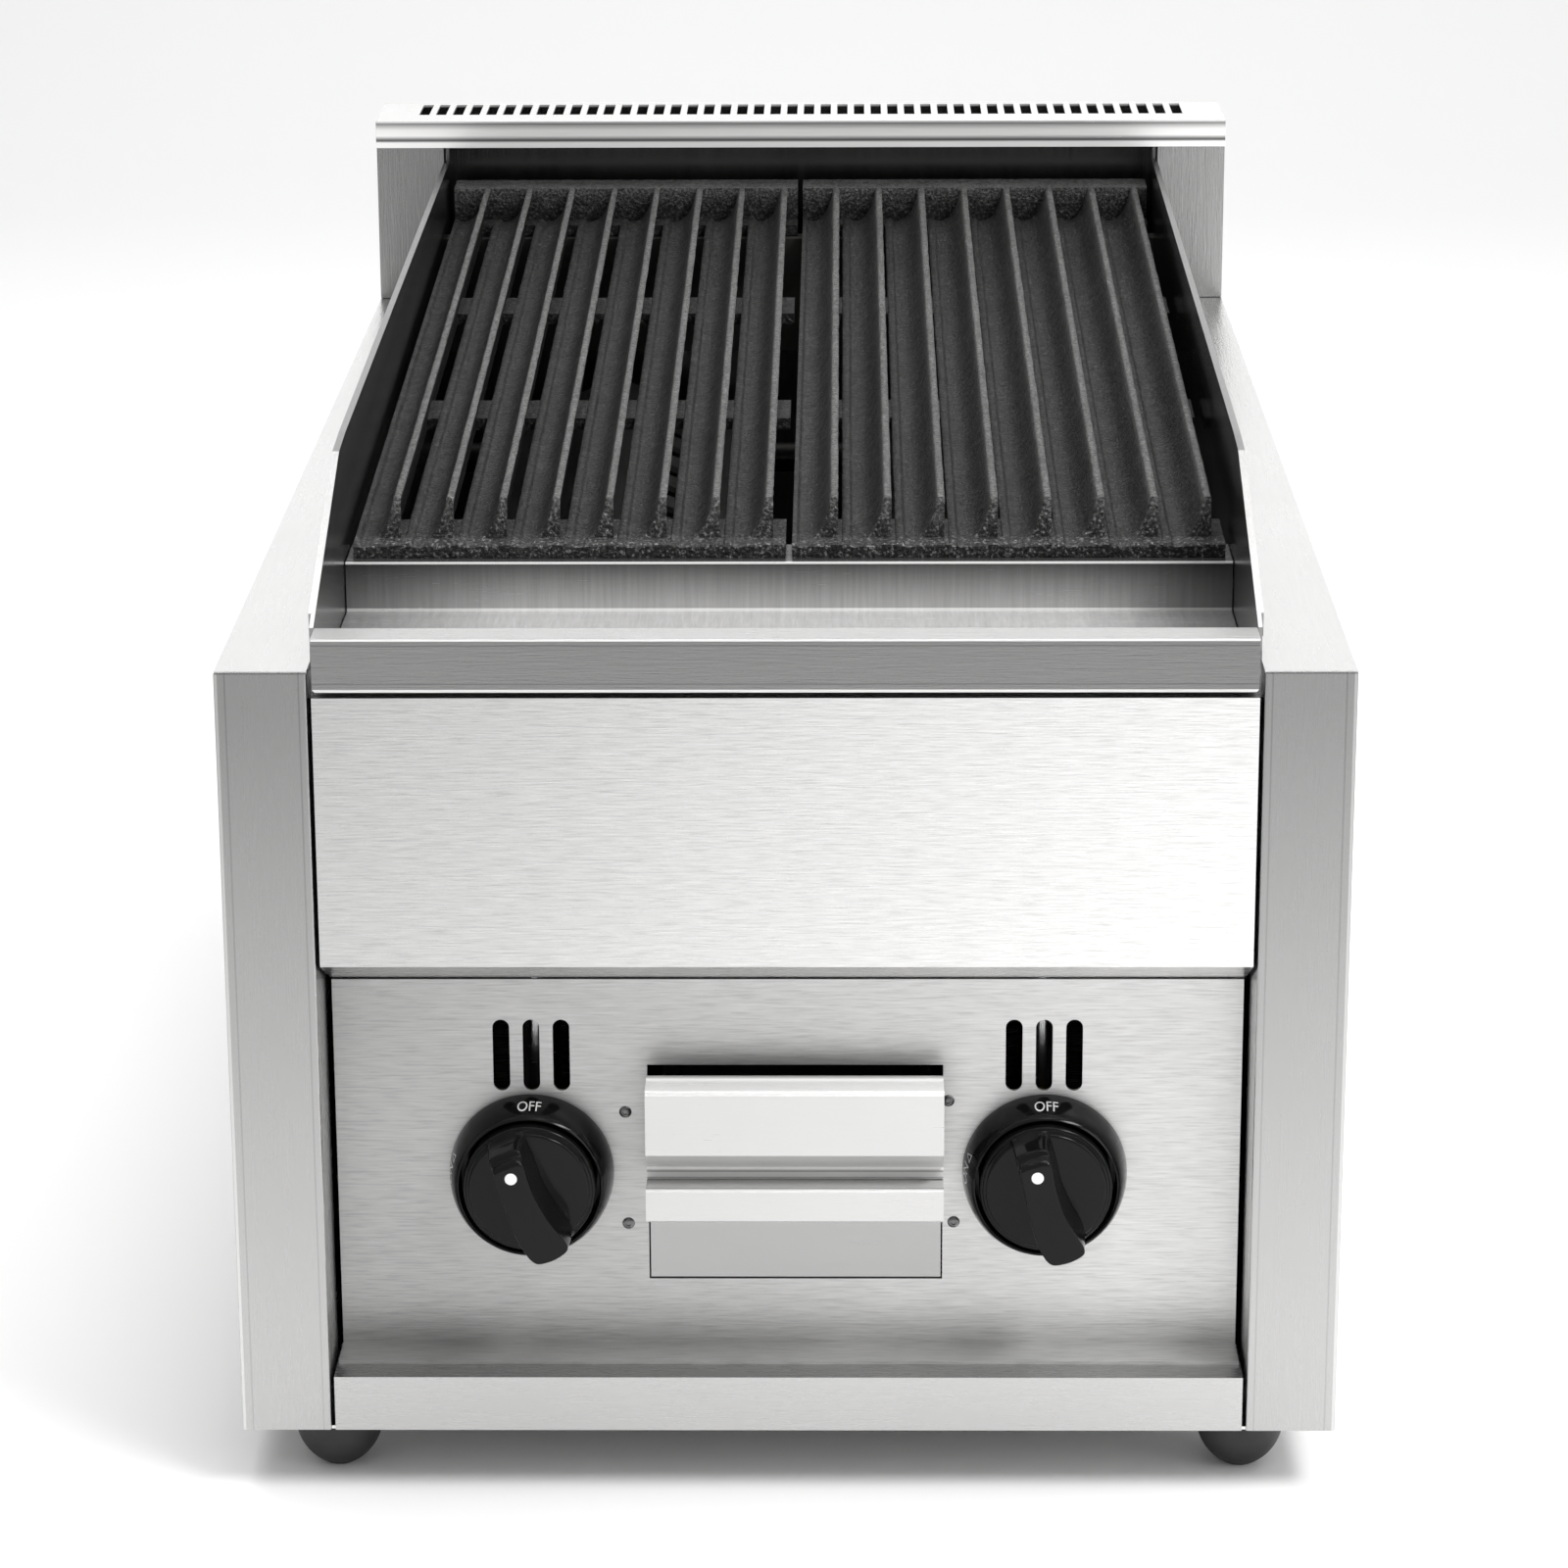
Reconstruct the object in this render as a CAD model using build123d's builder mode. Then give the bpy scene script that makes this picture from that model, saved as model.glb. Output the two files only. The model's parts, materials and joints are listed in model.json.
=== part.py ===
from build123d import *
import math
import os

# A 400 mm wide, two-burner countertop gas charbroiler, modelled in millimetres.
# X runs to the right, Y to the back, Z up; the origin is under the middle of the footprint.
# Every height below is measured from the top of the side cabinets and every depth from the
# front face of the two front posts, because that is how the real thing is laid out.
os.makedirs("parts", exist_ok=True)

width = 400.0
depth = 700.0
foot_height = 24.0
body_height = 289.0          # underside of the cabinet to the top of its sides
riser_height = 85.0          # flue riser above the side tops
sheet = 1.2                  # cabinet sheet
liner_sheet = 1.5            # firebox sheet
post_width = 32.5
inner = 166.0                # half width between the firebox liners
panel_y = 30.0               # the control panel stands this far behind the posts
riser_y = 650.0
back_wall_y = 680.0
rear_panel_y = 664.0
gutter_y = 125.0             # back wall of the grease gutter
gutter_floor = -12.0
trim_top = 12.0
firebox_front_y = 150.0
grate_front_y = 131.0
grate_width = 162.0
grate_gap = 2.4
grate_length = 530.0
grate_rise = 28.5            # the cooking surface climbs this much towards the back
fin_pitch = 20.0
fin_height = 14.5
fin_count = 8
knob_x = 94.0
knob_z = -199.0
knob_front = -7.6              # the grips stand this far ahead of the posts
burner_x = 86.0
burner_z = -95.0
inlet_x = 150.0
inlet_z = -185.0
drawer_x = 2.7
drawer_width = 106.8
foot_x = 167.5
foot_inset = 28.0
rear_foot_inset = 60.0

front = -depth / 2           # Y of the post faces
top = foot_height + body_height   # Z of the side tops
bottom = -body_height        # underside of the cabinet, from the side tops


def mid(pair):
    return (pair[0] + pair[1]) / 2


def span(pair):
    return abs(pair[1] - pair[0])


def slab(xs, ys, zs, mode=Mode.ADD):
    with Locations((mid(xs), mid(ys) + front, mid(zs) + top)):
        Box(span(xs), span(ys), span(zs), mode=mode)


def rod_y(x, z, ys, radius, mode=Mode.ADD):
    with Locations(Location((x, mid(ys) + front, z + top), (90, 0, 0))):
        Cylinder(radius, span(ys), mode=mode)


def rod_x(y, z, xs, radius, mode=Mode.ADD):
    with Locations(Location((mid(xs), y + front, z + top), (0, 90, 0))):
        Cylinder(radius, span(xs), mode=mode)


def rod_z(x, y, zs, radius, mode=Mode.ADD):
    with Locations((x, y + front, mid(zs) + top)):
        Cylinder(radius, span(zs), mode=mode)


def side_view(points, xs, mode=Mode.ADD):
    """Extrude a (depth, height) outline across the width."""
    with BuildSketch(Plane.YZ.offset(min(xs))) as profile:
        Polygon(*[(y + front, z + top) for y, z in points], align=None)
    extrude(profile.sketch, amount=span(xs), mode=mode)


def offset_line(points, thickness):
    """The same bent line moved sideways by one sheet thickness, mitred at the bends."""
    moved = []
    last = len(points) - 1
    for i, (px, py) in enumerate(points):
        normals = []
        for a, b in ((i - 1, i), (i, i + 1)):
            if a < 0 or b > last:
                continue
            dx, dy = points[b][0] - points[a][0], points[b][1] - points[a][1]
            length = math.hypot(dx, dy)
            normals.append((-dy / length, dx / length))
        nx = sum(n[0] for n in normals) / len(normals)
        ny = sum(n[1] for n in normals) / len(normals)
        scale = thickness / (nx * nx + ny * ny)
        moved.append((px + nx * scale, py + ny * scale))
    return moved


def folded(points, xs, thickness=sheet, radius=0.6):
    """Bent sheet: a (depth, height) line given thickness to its left, with rounded bends."""
    other = offset_line(points, thickness)
    with BuildSketch(Plane.YZ.offset(min(xs))) as profile:
        Polygon(*[(y + front, z + top) for y, z in points + other[::-1]], align=None)
        for i in range(1, len(points) - 1):
            ax, ay = points[i][0] - points[i - 1][0], points[i][1] - points[i - 1][1]
            bx, by = points[i + 1][0] - points[i][0], points[i + 1][1] - points[i][1]
            left_turn = ax * by - ay * bx > 0
            for point, is_inner in ((points[i], not left_turn), (other[i], left_turn)):
                spot = Vector(0, point[0] + front, point[1] + top)
                corner = [v for v in profile.vertices()
                          if math.hypot(v.Y - spot.Y, v.Z - spot.Z) < 0.01]
                fillet(corner, radius if is_inner else radius + thickness)
    extrude(profile.sketch, amount=span(xs))


def run_of_tube(points, radius):
    """A tube laid along straight runs, with a ball where it turns."""
    for a, b in zip(points, points[1:]):
        start = Vector(a[0], a[1] + front, a[2] + top)
        end = Vector(b[0], b[1] + front, b[2] + top)
        with BuildSketch(Plane(origin=start, z_dir=end - start)) as ring:
            Circle(radius)
        extrude(ring.sketch, amount=(end - start).length)
    for p in points[1:-1]:
        with Locations((p[0], p[1] + front, p[2] + top)):
            Sphere(radius)


def save(part, name):
    part.label = name
    export_step(part, f"parts/{name}.step")


sides = (("left", -1), ("right", 1))

# ---- cabinet -----------------------------------------------------------------------------
for side, s in sides:
    outer = s * width / 2
    skin = outer - s * sheet
    with BuildPart() as side_panel:
        slab((skin, outer), (sheet, depth), (bottom, -sheet))
        slab((outer, s * (inner + liner_sheet)), (sheet, riser_y), (-sheet, 0))
        slab((outer, s * (inner + liner_sheet)), (riser_y, depth), (-sheet, 0))
        slab((skin, skin - s * 45), (sheet, depth), (bottom, bottom + sheet))
        slab((skin, skin - s * 14), (depth - sheet, depth), (bottom + sheet, -sheet))
        for y in (foot_inset, depth - rear_foot_inset):
            rod_z(s * foot_x, y, (bottom - 1, bottom + 3), 4.3, Mode.SUBTRACT)
    save(side_panel.part, f"side_{side}")

    with BuildPart() as post:
        slab((outer, outer - s * post_width), (0, sheet), (bottom, -0.9))
        slab((outer - s * post_width, outer - s * (post_width - sheet)), (sheet, panel_y), (bottom + sheet, -sheet - 0.1))
        slab((s * (inner - 1), s * (inner + 4)), (19.5, 31), (bottom - 1, bottom + 8), Mode.SUBTRACT)  # foot nut
        front_edge = post.edges().filter_by(Axis.Z).sort_by(Axis.Y)[:2]
        fillet(front_edge.sort_by(Axis.X)[0 if s > 0 else -1], 0.9)
    save(post.part, f"post_{side}")

    # The firebox side liner carries on upwards as the splash guard; its upper edge is hemmed.
    edge = [(14.5, trim_top), (119, 51), (144, 52.6), (riser_y - 1, 65.2)]
    below = [(y, z - 8) for y, z in edge[1:]]
    with BuildPart() as guard:
        side_view([(14.5, 0), *edge, (riser_y + 1.4, 65.2), (riser_y + 1.4, 83.4), (back_wall_y, 83.4),
                   (back_wall_y, -3.2), (rear_panel_y - 3, -3.2), (rear_panel_y - 3, -152), (firebox_front_y, -152),
                   (firebox_front_y, -20), (gutter_y + 2, -20), (gutter_y + 2, -13.5), (14.5, -13.5)],
                  (s * inner, s * (inner + liner_sheet)))
        side_view([(23, 6.5), (22.6, 15), *edge[1:], *below[::-1], (40, 13.2)],
                  (s * (inner + liner_sheet), s * (inner + liner_sheet + 1.0)))
    save(guard.part, f"splash_guard_{side}")

with BuildPart() as rear_panel:
    slab((-198.8, 198.8), (rear_panel_y, rear_panel_y + sheet), (bottom + sheet, -4))
    slab((-184.8, 184.8), (rear_panel_y + sheet, depth), (-4 - sheet, -4))
    with Locations(*[(x, rear_panel_y + front, z + top) for x in range(-130, 140, 20) for z in (-60, -95)]):
        Box(6, 10, 26, mode=Mode.SUBTRACT)
    rod_y(inlet_x, inlet_z, (rear_panel_y - 5, rear_panel_y + 5), 14, Mode.SUBTRACT)
save(rear_panel.part, "rear_panel")

with BuildPart() as base_pan:
    slab((-153.7, 153.7), (31.5, rear_panel_y), (bottom, bottom + sheet))
    slab((-153.7, 153.7), (rear_panel_y - sheet, rear_panel_y), (bottom + sheet, bottom + 18))
    with Locations(*[(x, y + front, bottom + top) for x in (-120, 120) for y in (150, 300, 450, 600)]):
        Box(60, 6, 10, mode=Mode.SUBTRACT)
save(base_pan.part, "base_pan")

with BuildPart() as feet:
    for y in (foot_inset, depth - rear_foot_inset):
        for x in (-foot_x, foot_x):
            with BuildSketch(Plane(origin=(x, y + front, 0), x_dir=(1, 0, 0), z_dir=(0, -1, 0))):
                with BuildLine():
                    Polyline((0, 0), (6, 0))
                    ThreePointArc((6, 0), (14.2, 8.6), (16.2, 20))
                    Polyline((16.2, 20), (16.4, foot_height), (0, foot_height), (0, 0))
                make_face()
            revolve(axis=Axis((x, y + front, 0), (0, 0, 1)))
            with Locations((x, y + front, 5)):
                Cylinder(4.2, 10.02, mode=Mode.SUBTRACT)
            with Locations((x, y + front, 15)):
                Cylinder(2.6, 40, mode=Mode.SUBTRACT)
save(feet.part, "feet")

with BuildPart() as foot_screws:
    for y in (foot_inset, depth - rear_foot_inset):
        for x in (-foot_x, foot_x):
            with Locations((x, y + front, 8.5)):
                Cylinder(4.0, 3)
            with Locations((x, y + front, 21)):
                Cylinder(2.5, 22)
            with Locations((x, y + front, foot_height + sheet + 2.5)):
                Cylinder(6.5, 5)
save(foot_screws.part, "foot_screws")

with BuildPart() as bottom_rail:
    folded([(30.2, bottom + 21), (0, bottom + 21), (0, bottom), (26, bottom)], (-inner, inner))
    for s in (-1, 1):
        slab((s * 153.6, s * 167), (sheet, 31), (bottom - 1, bottom + 1.3), Mode.SUBTRACT)
save(bottom_rail.part, "bottom_rail")

panel_foot = bottom + 21.0
panel_head = bottom + 164.6
with BuildPart() as control_panel:
    folded([(12, panel_foot), (panel_y + sheet, panel_foot), (panel_y + sheet, panel_head)],
           (-inner + 0.6, inner - 0.6))
    for s in (-1, 1):
        slab((s * (inner - 0.6), s * (inner - 1.8)), (panel_y + sheet, 55), (panel_foot + 4, panel_head))
        for i in (-1, 0, 1):
            with BuildSketch(Plane(origin=(s * 93.4 + i * 10.95, front + 20, bottom + 135.3 + top),
                                   x_dir=(1, 0, 0), z_dir=(0, -1, 0))):
                SlotCenterToCenter(21.4, 6.1, rotation=90)
            extrude(amount=-20, mode=Mode.SUBTRACT)
        rod_y(s * knob_x, knob_z, (25, 35), 6.5, Mode.SUBTRACT)
    slab((drawer_x - 54, drawer_x + 54), (25, 35), (bottom + 47.4, bottom + 131.6), Mode.SUBTRACT)
    for x, z in ((-59.4, 113.2), (-58.8, 69.4), (58.6, 117.6), (60.8, 70.0)):
        rod_y(x, bottom + z, (25, 35), 1.75, Mode.SUBTRACT)
save(control_panel.part, "control_panel")

with BuildPart() as upper_panel:
    folded([(panel_y + sheet, panel_head + 0.2), (0, bottom + 179.8), (0, bottom + 279.4), (12, bottom + 279.4)],
           (-inner, inner), -sheet)
    for s in (-1, 1):
        side_view([(0.8, bottom + 180.2), (panel_y - 1, bottom + 166.6), (panel_y - 1, bottom + 200), (0.8, bottom + 200)],
                  (s * inner, s * (inner - sheet)))
save(upper_panel.part, "upper_panel")

with BuildPart() as gutter:
    folded([(0, -7.6), (0, trim_top), (14, trim_top), (14, gutter_floor), (gutter_y, gutter_floor),
            (gutter_y, 6.9), (grate_front_y + 20.5, 6.9)], (-inner + 0.4, inner - 0.4), -sheet, 0.7)
    low_corners = [e for e in gutter.edges().filter_by(Axis.Y) if abs(e.center().Z - (top - 7.6)) < 0.1]
    fillet(low_corners, 1.6)
    for s in (-1, 1):
        slab((s * (inner - 0.4), s * (inner - 1.4)), (sheet, 13), (-5, trim_top - sheet))
    slab((drawer_x - 28, drawer_x + 28), (38, 60), (gutter_floor - 5, gutter_floor + 5), Mode.SUBTRACT)
save(gutter.part, "grease_gutter")

with BuildPart() as drip_chute:
    slab((drawer_x - 31.2, drawer_x + 31.2), (34.8, 63.2), (-150, gutter_floor - sheet))
    slab((drawer_x - 30, drawer_x + 30), (36, 62), (-151, gutter_floor), Mode.SUBTRACT)
    for ys in ((30.8, 34.8), (63.2, 69)):
        slab((drawer_x - 31.2, drawer_x + 31.2), (max(ys[0], 31.4), ys[1]), (gutter_floor - 2 * sheet, gutter_floor - sheet))
save(drip_chute.part, "drip_chute")

# ---- firebox -----------------------------------------------------------------------------
with BuildPart() as firebox_front:
    slab((-inner, inner), (firebox_front_y, firebox_front_y + liner_sheet), (-152, 5.7))
    for s in (-1, 1):
        rod_y(s * burner_x, burner_z, (145, 156), 14.2, Mode.SUBTRACT)
        rod_y(s * 112, burner_z + 6, (145, 156), 2.4, Mode.SUBTRACT)
save(firebox_front.part, "firebox_front")

with BuildPart() as firebox_back:
    slab((-inner - liner_sheet, inner + liner_sheet), (back_wall_y, back_wall_y + liner_sheet), (0.2, 82))
    slab((-inner, inner), (rear_panel_y - 3, rear_panel_y - 1.5), (-152, -2.0))
    slab((-inner, inner), (rear_panel_y - 1.5, back_wall_y + liner_sheet), (-3.2, -1.7))
    slab((-inner, inner), (back_wall_y, back_wall_y + liner_sheet), (-1.7, 0.2))
save(firebox_back.part, "firebox_back")

with BuildPart() as drip_pan:
    side_view([(155, -146), (rear_panel_y - 4, -124), (rear_panel_y - 4, -125.5), (155, -147.5)], (-inner + 0.3, inner - 0.3))
    slab((-inner + 0.3, inner - 0.3), (firebox_front_y + 2, 155), (-147.5, -132))
    slab((-40, 46), (160, 200), (-170, -100), Mode.SUBTRACT)
    slab((-41.2, 47.2), (158.8, 201.2), (-156, -146.2))
    slab((-40, 46), (160, 200), (-157, -100), Mode.SUBTRACT)
save(drip_pan.part, "drip_pan")

with BuildPart() as grate_rest:
    folded([(625, -20), (625, 33.4), (637, 33.4)], (-inner, inner), -1.6)
save(grate_rest.part, "grate_rest")

with BuildPart() as radiant_rests:
    for y in (205, 615):
        rod_x(y, -66.3, (-inner, inner), 4)
save(radiant_rests.part, "radiant_rests")

slope = math.atan2(grate_rise, grate_length)
up = (0, -math.sin(slope), math.cos(slope))
along = (0, math.cos(slope), math.sin(slope))


def cast_grate(x_left):
    """One leaning-fin casting: fins climb out of grease troughs, with slots beside each fin."""
    base = Plane(origin=(x_left, front + grate_front_y, top + 12.2), x_dir=(1, 0, 0),
                 z_dir=(0, -along[1], -along[2]))

    def box(xs, zs, ss, mode=Mode.ADD):
        with Locations(base * Location((mid(xs), mid(zs), -mid(ss)))):
            Box(span(xs), span(zs), span(ss), mode=mode)

    first = 13.8
    with BuildPart() as grate:
        with BuildSketch(base):
            with BuildLine():
                spot = (0, 0)
                for k in range(fin_count):
                    foot = first + k * fin_pitch
                    lip = 3.9 if k == 0 else foot - fin_pitch + 8.1
                    lines = [spot, (lip, 0), (lip + 0.5, -1.2), (foot - 7.6, -1.2)]
                    Polyline(*lines)
                    ThreePointArc((foot - 7.6, -1.2), (foot - 2.0, 3.4), (foot + 0.5, fin_height))
                    spot = (foot, 0)
                    Polyline((foot + 0.5, fin_height), (foot + 3.5, fin_height), spot)
                Polyline(spot, (spot[0], -5.3), (0, -5.3), (0, 0))
            make_face()
        extrude(amount=-grate_length)
        # The fins start behind a flat front strip and run into a solid rim at the back.
        box((-1, grate_width + 1), (0.0, fin_height + 1), (-1, 12), Mode.SUBTRACT)
        box((0, grate_width), (-5.3, fin_height), (grate_length - 17, grate_length))
        for ss in ((0, 33), (172, 199), (338, 366), (grate_length - 25, grate_length)):
            box((first + 7 * fin_pitch - 2, grate_width), (-5.3, 0.0), ss)
        for k in range(fin_count - 1):
            foot = first + k * fin_pitch
            for ss in ((33, 172), (199, 338), (366, grate_length - 20)):
                with BuildSketch(Plane(origin=base.origin + base.x_dir * (foot + 2.4) + Vector(*along) * mid(ss)
                                       - Vector(*up) * 8, x_dir=along, z_dir=up)):
                    SlotOverall(span(ss), 4.8)
                extrude(amount=8.6, mode=Mode.SUBTRACT)
    return grate.part


for side, x_left in (("left", -grate_width - grate_gap / 2), ("right", grate_gap / 2)):
    save(cast_grate(x_left), f"grate_{side}")

# ---- burners and gas train ---------------------------------------------------------------
for side, s in sides:
    x = s * burner_x
    with BuildPart() as burner:
        rod_y(x, burner_z, (190, 628), 19)
        rod_y(x, burner_z, (189, 626), 17.4, Mode.SUBTRACT)
        with Locations(Location((x, front + 180, burner_z + top), (90, 0, 0))):
            Cone(19, 13.5, 20)
        with Locations(Location((x, front + 180, burner_z + top), (90, 0, 0))):
            Cone(17.4, 12, 20.02, mode=Mode.SUBTRACT)
        rod_y(x, burner_z, (96, 170), 13.5)
        rod_y(x, burner_z, (95, 171), 12, Mode.SUBTRACT)
        for dx in (-13.4, 13.4):
            with Locations(*[(x + dx, front + 205 + i * 16, burner_z + 13.4 + top) for i in range(26)]):
                Box(3, 6, 14, mode=Mode.SUBTRACT)
        for dx in (-9, 9):
            slab((x + dx - 3, x + dx + 3), (104, 116), (burner_z - 16, burner_z + 16), Mode.SUBTRACT)
        rod_y(x, burner_z, (628, 652), 5)
    save(burner.part, f"burner_{side}")

    with BuildPart() as shutter:
        rod_y(x, burner_z, (101, 119), 15.2)
        rod_y(x, burner_z, (100, 120), 13.56, Mode.SUBTRACT)
        for dx in (-9, 9):
            slab((x + dx - 3, x + dx + 3), (105, 115), (burner_z - 18, burner_z + 18), Mode.SUBTRACT)
        slab((x - 1, x + 1), (106, 114), (burner_z + 14.6, burner_z + 24))
    save(shutter.part, f"air_shutter_{side}")

    # A radiant sheds grease past the burner; its feet stand on the two cross rods.
    with BuildPart() as radiant:
        outline = offset_line([(-58, -62), (-58, -56), (0, -32), (58, -56), (58, -62)], -2.5)
        with BuildSketch(Plane.XZ.offset(-(front + 195))):
            Polygon(*[(x + px, pz + top) for px, pz in
                      [(-58, -62), (-58, -56), (0, -32), (58, -56), (58, -62)] + outline[::-1]], align=None)
        extrude(amount=-426.5)
        for dx in (-29, 29):
            with Locations(*[(x + dx, front + 225 + i * 37, -44 + top) for i in range(11)]):
                Box(8, 18, 30, mode=Mode.SUBTRACT)
    save(radiant.part, f"radiant_{side}")

    kx = s * knob_x
    with BuildPart() as valve:
        rod_y(kx, knob_z, (46, 104), 12)
        rod_y(kx, knob_z, (43, 46), 15)
        rod_z(kx, 92, (knob_z + 6, -148.8), 8)
        slab((kx - 11, kx + 11), (92 - 4, 92 + 9), (-150.6, -148.8 + 0.2))
        rod_z(kx, 64, (knob_z + 6, knob_z + 20), 6)
        rod_y(kx, knob_z, (40, 96), 6.06, Mode.SUBTRACT)
    save(valve.part, f"gas_valve_{side}")

    with BuildPart() as plug:
        rod_y(kx, knob_z, (44, 94), 6.0)
        rod_y(kx, knob_z, (40, 88), 4.05, Mode.SUBTRACT)
        rod_z(kx, 64, (knob_z - 7, knob_z + 7), 1.6, Mode.SUBTRACT)
        slab((kx - 7, kx + 7), (42, 50), (knob_z - 0.75, knob_z + 0.75), Mode.SUBTRACT)
    save(plug.part, f"valve_plug_{side}")

    with BuildPart() as tube:
        run_of_tube([(kx, 64, knob_z + 20), (kx, 64, -112), (x, 64, burner_z), (x, 80, burner_z)], 4)
        rod_y(x, burner_z, (80, 84), 4)
    save(tube.part, f"feed_tube_{side}")

with BuildPart() as injectors:
    for s in (-1, 1):
        rod_y(s * burner_x, burner_z, (84, 93), 6)
        rod_y(s * burner_x, burner_z, (93, 99), 3.4)
        rod_y(s * burner_x, burner_z, (92, 100), 0.8, Mode.SUBTRACT)
save(injectors.part, "injectors")

with BuildPart() as burner_rest:
    slab((-inner, inner), (640, 641.5), (burner_z - 22, burner_z + 12))
    slab((-inner, inner), (641.5, 655), (burner_z - 22, burner_z - 20.5))
    for s in (-1, 1):
        rod_y(s * burner_x, burner_z, (635, 645), 5.2, Mode.SUBTRACT)
save(burner_rest.part, "burner_rest")

with BuildPart() as injector_bracket:
    slab((-140, 140), (78, 80), (burner_z - 14, burner_z + 14))
    for s in (-1, 1):
        slab((s * 138, s * 140), (80, firebox_front_y), (burner_z - 14, burner_z + 14))
        rod_y(s * burner_x, burner_z, (76, 82), 6, Mode.SUBTRACT)
        slab((s * (knob_x - 5), s * (knob_x + 5)), (76, 82), (burner_z - 15, burner_z - 8), Mode.SUBTRACT)
save(injector_bracket.part, "injector_bracket")

with BuildPart() as manifold:
    rod_x(98, -140, (-150, 183), 10.6)
    for s in (-1, 1):
        slab((s * knob_x - 12, s * knob_x + 12), (80, 112), (-160, -148.6), Mode.SUBTRACT)
    run_of_tube([(182.9, 98, -140), (183, 98, -140), (183, 98, inlet_z), (183, 636, inlet_z), (inlet_x, 636, inlet_z),
                 (inlet_x, 650, inlet_z)], 10.6)
save(manifold.part, "manifold")

with BuildPart() as gas_inlet:
    for start, thickness in ((rear_panel_y - 14, 14), (rear_panel_y + sheet + 0.1, 6.7)):
        with BuildSketch(Plane.XZ.offset(-(front + start))) as nut:
            with Locations((inlet_x, inlet_z + top)):
                RegularPolygon(19, 6)
        extrude(nut.sketch, amount=-thickness)
    rod_y(inlet_x, inlet_z, (rear_panel_y, rear_panel_y + 8), 13.9)
    rod_y(inlet_x, inlet_z, (rear_panel_y + 8, depth - knob_front), 13.3)
    rod_y(inlet_x, inlet_z, (rear_panel_y - 10, depth + 10), 9.5, Mode.SUBTRACT)
save(gas_inlet.part, "gas_inlet")

with BuildPart() as pilots:
    for s in (-1, 1):
        run_of_tube([(s * 112, 84, -125), (s * 112, 84, burner_z + 6), (s * 112, 176, burner_z + 6)], 2)
        rod_y(s * 112, burner_z + 6, (176, 196), 4)
        rod_z(s * 112, 84, (-131, -123), 5)
save(pilots.part, "pilot_burners")

# ---- knobs -------------------------------------------------------------------------------
for side, s, lean in (("left", -1, 22.0), ("right", 1, 16.5)):
    kx = s * knob_x
    face = Plane(origin=(kx, front, knob_z + top), x_dir=(1, 0, 0), z_dir=(0, -1, 0))
    with BuildPart() as bezel:
        with BuildSketch(Plane(origin=(kx, front, knob_z + top), x_dir=(1, 0, 0), z_dir=(0, 0, 1))):
            Polygon((7, 29.9), (30.2, 29.9), (30.2, 28.4), (29.7, 23.6), (28.6, 18.4), (27.3, 15.2), (26.6, 14.2),
                    (26.0, 13.8), (25.7, 14.2), (25.7, 28.4), (7, 28.4), align=None)
        revolve(axis=Axis((kx, front, knob_z + top), (0, 1, 0)))
    save(bezel.part, f"bezel_{side}")

    turn = math.radians(lean)
    grip_up = Vector(-math.sin(turn), 0, math.cos(turn))
    grip_across = Vector(math.cos(turn), 0, math.sin(turn))
    with BuildPart() as knob:
        with BuildSketch(Plane(origin=(kx, front, knob_z + top), x_dir=(1, 0, 0), z_dir=(0, 0, 1))):
            Polygon((0, 22), (24.2, 22), (24.2, 12.4), (23.7, 10.9), (22.4, 10.0), (0, 10.0), align=None)
        revolve(axis=Axis((kx, front, knob_z + top), (0, 1, 0)))
        # The grip stands 20 mm out of the dial: narrow at its pointer end, waisted on the thumb side.
        grip_face = Plane(origin=(kx, front + knob_front, knob_z + top), x_dir=grip_across, z_dir=(0, -1, 0))
        with BuildSketch(grip_face):
            Polygon((-5.6, 17.6), (5.6, 17.6), (4.7, 9.5), (4.6, 2), (5.3, -6.5), (7.2, -14), (8.3, -19), (2, -22),
                    (-4.8, -21.2), (-6.8, -17), (-7.6, -10), (-7.4, -3), (-6.5, 7), align=None)
        with BuildSketch(grip_face.offset(knob_front - 10.6)):
            Polygon((-7.2, 22), (7, 22), (7.2, 12), (6.6, 2), (7.6, -6.5), (9.3, -14), (8.6, -21.5), (2, -23.4),
                    (-5.6, -22.6), (-8, -17.8), (-8.6, -10), (-8.4, -3), (-7.5, 7), align=None)
        loft(ruled=True)
        rod_y(kx, knob_z, (13.5, 23), 21.5, Mode.SUBTRACT)
        rod_y(kx, knob_z, (13.5, 23.5), 7.5)
        rod_y(kx, knob_z, (12.5, 24), 4.0, Mode.SUBTRACT)
    save(knob.part, f"knob_{side}")

    with BuildPart() as stem:
        rod_y(kx, knob_z, (12.5, 80), 4.0)
    save(stem.part, f"valve_stem_{side}")

# ---- grease drawer -----------------------------------------------------------------------
drawer_low = bottom + 49.5
with BuildPart() as drawer_box:
    slab((drawer_x - 50, drawer_x + 50), (31.8, 312), (drawer_low, bottom + 122))
    slab((drawer_x - 48.8, drawer_x + 48.8), (33, 310.8), (drawer_low + sheet, bottom + 123), Mode.SUBTRACT)
    for s in (-1, 1):
        slab((drawer_x + s * 50, drawer_x + s * 52.5), (40, 312), (bottom + 90, bottom + 91.2))
save(drawer_box.part, "drawer_box")

with BuildPart() as drawer_front:
    slab((drawer_x - drawer_width / 2, drawer_x + drawer_width / 2), (panel_y, 31.8), (bottom + 48.2, bottom + 125))
save(drawer_front.part, "drawer_front")

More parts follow.
